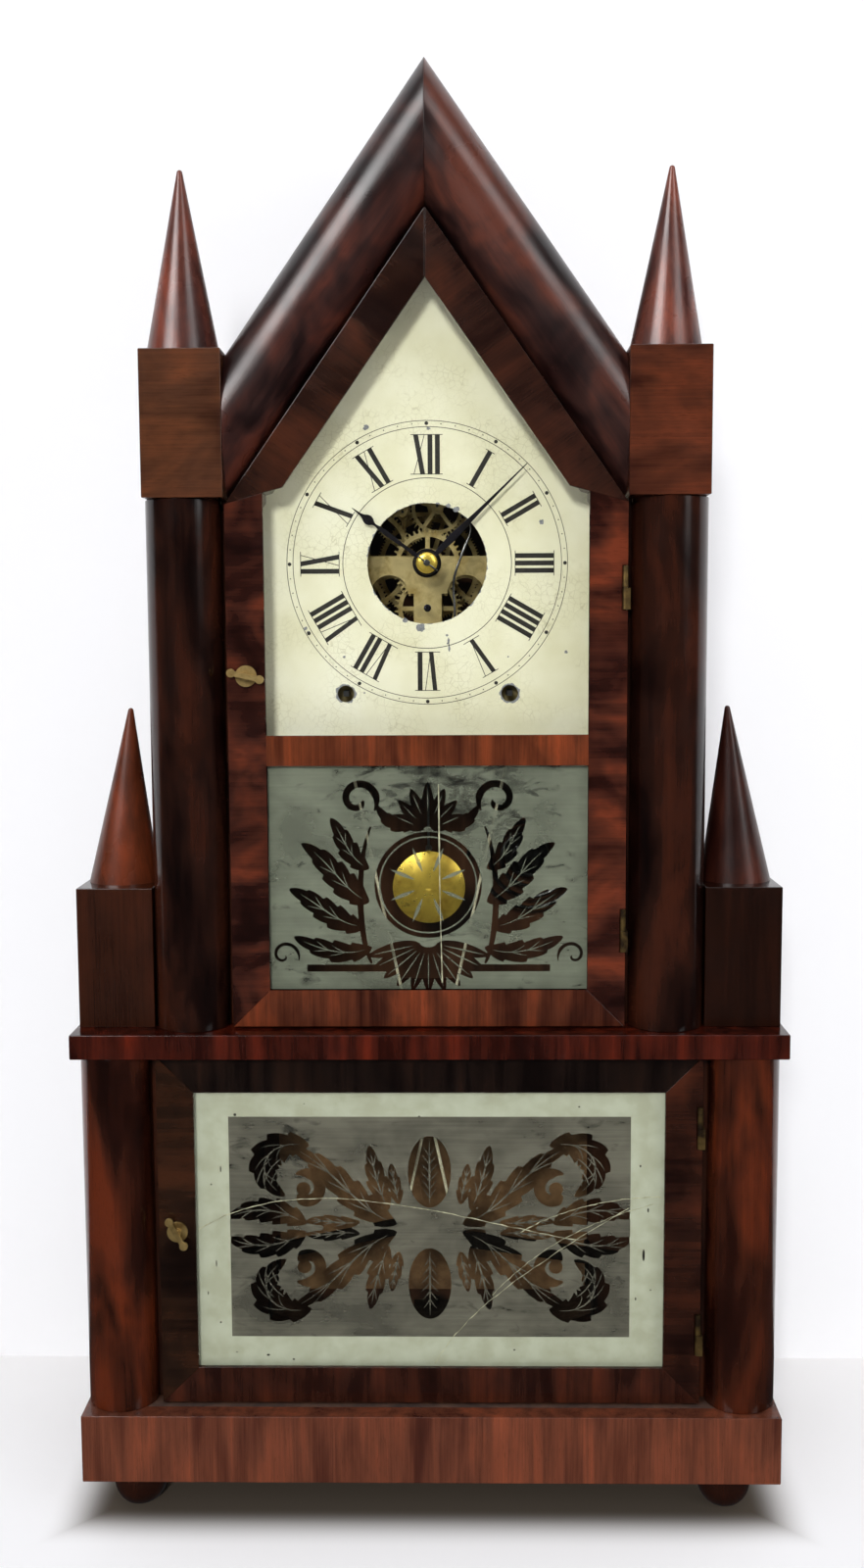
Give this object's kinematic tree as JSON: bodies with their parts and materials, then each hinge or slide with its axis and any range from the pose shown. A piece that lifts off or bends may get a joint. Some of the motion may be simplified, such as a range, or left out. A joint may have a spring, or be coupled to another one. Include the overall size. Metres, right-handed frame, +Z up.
{
  "type": "double steeple shelf clock",
  "caption": "Shelf clock with a gabled upper case, turned steeples, half-round columns, glazed upper and lower doors, painted dial, pendulum and leaf-spring movement.",
  "frame": {"origin": "centre of the bounding box at the underside of the feet", "axes": "+Z up, +Y towards the back, -Y the front with the doors, +X to the right of someone who faces the dial"},
  "size_m": [0.3388, 0.127, 0.6873],
  "materials": {
    "veneer": "French polished",
    "dark_veneer": "French polished",
    "pine": "bare, aged",
    "label_paper": "aged paper",
    "dial_paint": "aged paint",
    "clear_glass": "clear",
    "frosted_glass": "frosted and painted",
    "brass": "polished, tarnished",
    "steel": "blued or drawn",
    "iron": "dark",
    "cord": "waxed"
  },
  "bodies": {
    "case": {"bun_feet": "dark_veneer", "base_plinth": "veneer", "base_board": "pine", "lower_sides": "veneer", "lower_backboard": "pine", "lower_columns": "veneer", "middle_shelf": "dark_veneer", "left_side_block": "dark_veneer", "right_side_block": "dark_veneer", "lower_left_steeple": "veneer", "lower_right_steeple": "veneer", "upper_sides": "veneer", "roof_boards": "pine", "upper_backboard": "pine", "upper_columns": "veneer", "left_cap_block": "dark_veneer", "right_cap_block": "dark_veneer", "upper_left_steeple": "veneer", "upper_right_steeple": "veneer", "left_gable_moulding": "dark_veneer", "right_gable_moulding": "dark_veneer", "paper_label": "label_paper", "dial_plate": "dial_paint", "case_hinges": "brass", "front_plate": "brass", "back_plate": "brass", "movement_posts": "steel", "gong": "steel", "leaf_spring": "steel", "spring_bracket": "iron", "lift_cords": "cord"},
    "upper_door": {"upper_door_frame": "veneer", "dial_glass": "clear_glass", "upper_tablet": "frosted_glass", "upper_door_hinges": "brass"},
    "upper_catch": {"upper_catch": "brass"},
    "lower_door": {"lower_door_frame": "veneer", "lower_tablet": "frosted_glass", "lower_door_hinges": "brass"},
    "lower_catch": {"lower_catch": "brass"},
    "time_drum": {"time_drum": "brass"},
    "strike_drum": {"strike_drum": "brass"},
    "time_great_wheel": {"time_great_wheel": "brass"},
    "strike_great_wheel": {"strike_great_wheel": "brass"},
    "time_second_wheel": {"time_second_wheel": "brass"},
    "strike_second_wheel": {"strike_second_wheel": "brass"},
    "time_third_wheel": {"time_third_wheel": "brass"},
    "strike_third_wheel": {"strike_third_wheel": "brass"},
    "centre_arbor": {"centre_wheel": "brass", "minute_hand": "steel"},
    "hour_hand": {"hour_hand": "brass"},
    "minute_wheel": {"minute_wheel": "brass"},
    "fourth_wheel": {"fourth_wheel": "brass"},
    "escape_wheel": {"escape_wheel": "brass"},
    "verge": {"verge": "steel"},
    "pendulum": {"pendulum": "steel"},
    "strike_hammer": {"strike_hammer": "steel"},
    "fly": {"fly": "brass"},
    "left_lever": {"left_lever": "iron"},
    "right_lever": {"right_lever": "iron"}
  },
  "joints": [
    {"name": "upper_door_hinge", "type": "hinge", "parent": "case", "child": "upper_door", "pos_m": [0.092, -0.049, 0], "axis": [0, 0, 1], "range_deg": [0, 94]},
    {"name": "upper_catch_turn", "type": "hinge", "parent": "upper_door", "child": "upper_catch", "pos_m": [-0.0843, 0, 0.4083], "axis": [0, -1, 0], "range_deg": [0, 90]},
    {"name": "lower_door_hinge", "type": "hinge", "parent": "case", "child": "lower_door", "pos_m": [0.1293, -0.052, 0], "axis": [0, 0, 1], "range_deg": [0, 110]},
    {"name": "lower_catch_turn", "type": "hinge", "parent": "lower_door", "child": "lower_catch", "pos_m": [-0.1216, 0, 0.14115], "axis": [0, -1, 0], "range_deg": [0, 90]},
    {"name": "hands", "type": "hinge", "parent": "case", "child": "centre_arbor", "pos_m": [0, 0, 0.4608], "axis": [0, 1, 0], "continuous": true},
    {"name": "hour_hand_turn", "type": "hinge", "parent": "case", "child": "hour_hand", "pos_m": [0, 0, 0.4608], "axis": [0, 1, 0], "continuous": true},
    {"name": "minute_wheel_turn", "type": "hinge", "parent": "case", "child": "minute_wheel", "pos_m": [0, 0, 0.4398], "axis": [0, 1, 0], "continuous": true},
    {"name": "time_third_turn", "type": "hinge", "parent": "case", "child": "time_third_wheel", "pos_m": [-0.03356, 0, 0.4648], "axis": [0, 1, 0], "continuous": true},
    {"name": "time_second_turn", "type": "hinge", "parent": "case", "child": "time_second_wheel", "pos_m": [-0.04448, 0, 0.43848], "axis": [0, 1, 0], "continuous": true},
    {"name": "time_great_turn", "type": "hinge", "parent": "case", "child": "time_great_wheel", "pos_m": [-0.0394, 0, 0.3989], "axis": [0, 1, 0], "continuous": true},
    {"name": "fourth_turn", "type": "hinge", "parent": "case", "child": "fourth_wheel", "pos_m": [-0.01201, 0, 0.48609], "axis": [0, 1, 0], "continuous": true},
    {"name": "escape_turn", "type": "hinge", "parent": "case", "child": "escape_wheel", "pos_m": [0.00478, 0, 0.48875], "axis": [0, 1, 0], "continuous": true},
    {"name": "pendulum_swing", "type": "hinge", "parent": "case", "child": "pendulum", "pos_m": [0, 0, 0.5148], "axis": [0, 1, 0], "range_deg": [-3.5, 3.5]},
    {"name": "verge_rock", "type": "hinge", "parent": "case", "child": "verge", "pos_m": [0.00478, 0, 0.50725], "axis": [0, 1, 0], "range_deg": [-5, 5]},
    {"name": "strike_third_turn", "type": "hinge", "parent": "case", "child": "strike_third_wheel", "pos_m": [0.03356, 0, 0.4648], "axis": [0, 1, 0], "continuous": true},
    {"name": "fly_turn", "type": "hinge", "parent": "case", "child": "fly", "pos_m": [0.04096, 0, 0.49243], "axis": [0, 1, 0], "continuous": true},
    {"name": "strike_second_turn", "type": "hinge", "parent": "case", "child": "strike_second_wheel", "pos_m": [0.04448, 0, 0.43848], "axis": [0, 1, 0], "continuous": true},
    {"name": "strike_great_turn", "type": "hinge", "parent": "case", "child": "strike_great_wheel", "pos_m": [0.0394, 0, 0.3989], "axis": [0, 1, 0], "continuous": true},
    {"name": "hammer_swing", "type": "hinge", "parent": "case", "child": "strike_hammer", "pos_m": [0.076, 0, 0.4268], "axis": [0, -1, 0], "range_deg": [0, 15]},
    {"name": "right_lever_swing", "type": "hinge", "parent": "case", "child": "right_lever", "pos_m": [0.10854, 0, 0.1008], "axis": [0, 1, 0], "range_deg": [-24, 18], "deforming": ["leaf_spring", "lift_cords"]},
    {"name": "time_drum_turn", "type": "hinge", "parent": "case", "child": "time_drum", "pos_m": [-0.0394, 0, 0.3989], "axis": [0, 1, 0], "range_deg": [-290, 220]},
    {"name": "left_lever_swing", "type": "hinge", "parent": "case", "child": "left_lever", "pos_m": [-0.10854, 0, 0.1008], "axis": [0, -1, 0], "range_deg": [-28, 14], "deforming": ["leaf_spring", "lift_cords"]},
    {"name": "strike_drum_turn", "type": "hinge", "parent": "case", "child": "strike_drum", "pos_m": [0.0394, 0, 0.3989], "axis": [0, -1, 0], "range_deg": [-340, 170]}
  ],
  "couplings": [
    {"joint": "hour_hand_turn", "follows": "hands", "ratio": 0.083333},
    {"joint": "minute_wheel_turn", "follows": "hands", "ratio": -0.33333},
    {"joint": "time_third_turn", "follows": "hands", "ratio": -0.3},
    {"joint": "time_second_turn", "follows": "hands", "ratio": 0.045455},
    {"joint": "time_great_turn", "follows": "hands", "ratio": -0.0075758},
    {"joint": "fourth_turn", "follows": "hands", "ratio": -13},
    {"joint": "escape_turn", "follows": "hands", "ratio": 97.5},
    {"joint": "verge_rock", "follows": "pendulum_swing", "ratio": 1.3427},
    {"joint": "fly_turn", "follows": "strike_third_turn", "ratio": -10},
    {"joint": "strike_second_turn", "follows": "strike_third_turn", "ratio": -0.15152},
    {"joint": "strike_great_turn", "follows": "strike_third_turn", "ratio": 0.025253},
    {"joint": "time_drum_turn", "follows": "right_lever_swing", "ratio": 12},
    {"joint": "strike_drum_turn", "follows": "left_lever_swing", "ratio": 12}
  ]
}
